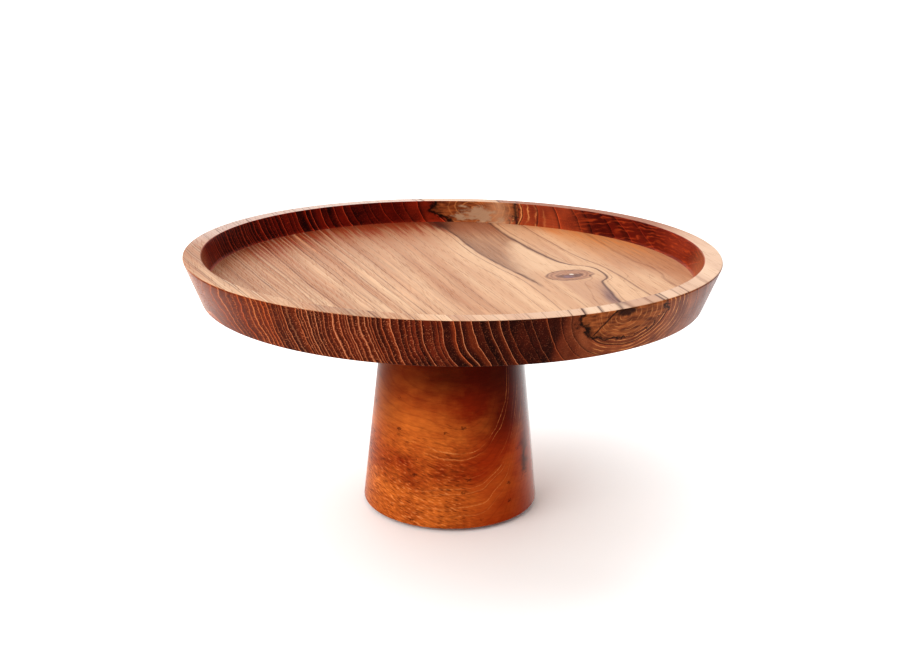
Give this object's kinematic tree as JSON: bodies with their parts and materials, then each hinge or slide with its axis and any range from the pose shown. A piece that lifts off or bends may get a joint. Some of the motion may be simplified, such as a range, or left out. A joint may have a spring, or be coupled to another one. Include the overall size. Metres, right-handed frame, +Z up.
{
  "type": "cake stand",
  "caption": "Footed cake stand: a round teak plate with a raised rim and a shallow recess, screwed on to a tapered teak pedestal with soft pads under it.",
  "frame": {"origin": "centre of the footprint, on the surface that the foot pads rest on", "axes": "+Z up along the turning axis; +X to the right and +Y away from the viewer of the front view, where the grain of the plate runs from back left to front right"},
  "size_m": [0.3, 0.3, 0.153],
  "materials": {
    "teak_plate": "oiled, satin, strong open grain",
    "teak_pedestal": "oiled, glossy, warm orange brown",
    "zinc_steel": "bright zinc plate",
    "brass_insert": "turned, satin",
    "grey_rubber": "matt",
    "black_rubber": "matt"
  },
  "bodies": {
    "pedestal": {"pedestal": "teak_pedestal", "threaded_insert": "brass_insert", "foot_pad_1": "black_rubber", "foot_pad_2": "black_rubber", "foot_pad_3": "black_rubber", "foot_pad_4": "black_rubber"},
    "washer": {"joint_washer": "grey_rubber"},
    "plate": {"plate": "teak_plate", "mounting_flange": "zinc_steel", "connecting_stud": "zinc_steel", "flange_screw_1": "zinc_steel", "flange_screw_2": "zinc_steel", "flange_screw_3": "zinc_steel", "flange_screw_4": "zinc_steel"}
  },
  "joints": [
    {"name": "plate_turn", "type": "hinge", "parent": "pedestal", "child": "washer", "pos_m": [0, 0, 0.128], "axis": [0, 0, 1], "range_deg": [0, 4680]},
    {"name": "plate_rise", "type": "slide", "parent": "washer", "child": "plate", "axis": [0, 0, 1], "range_m": [0, 0.01625]}
  ],
  "couplings": [
    {"joint": "plate_rise", "follows": "plate_turn", "m_per_rad": 0.00019894}
  ]
}
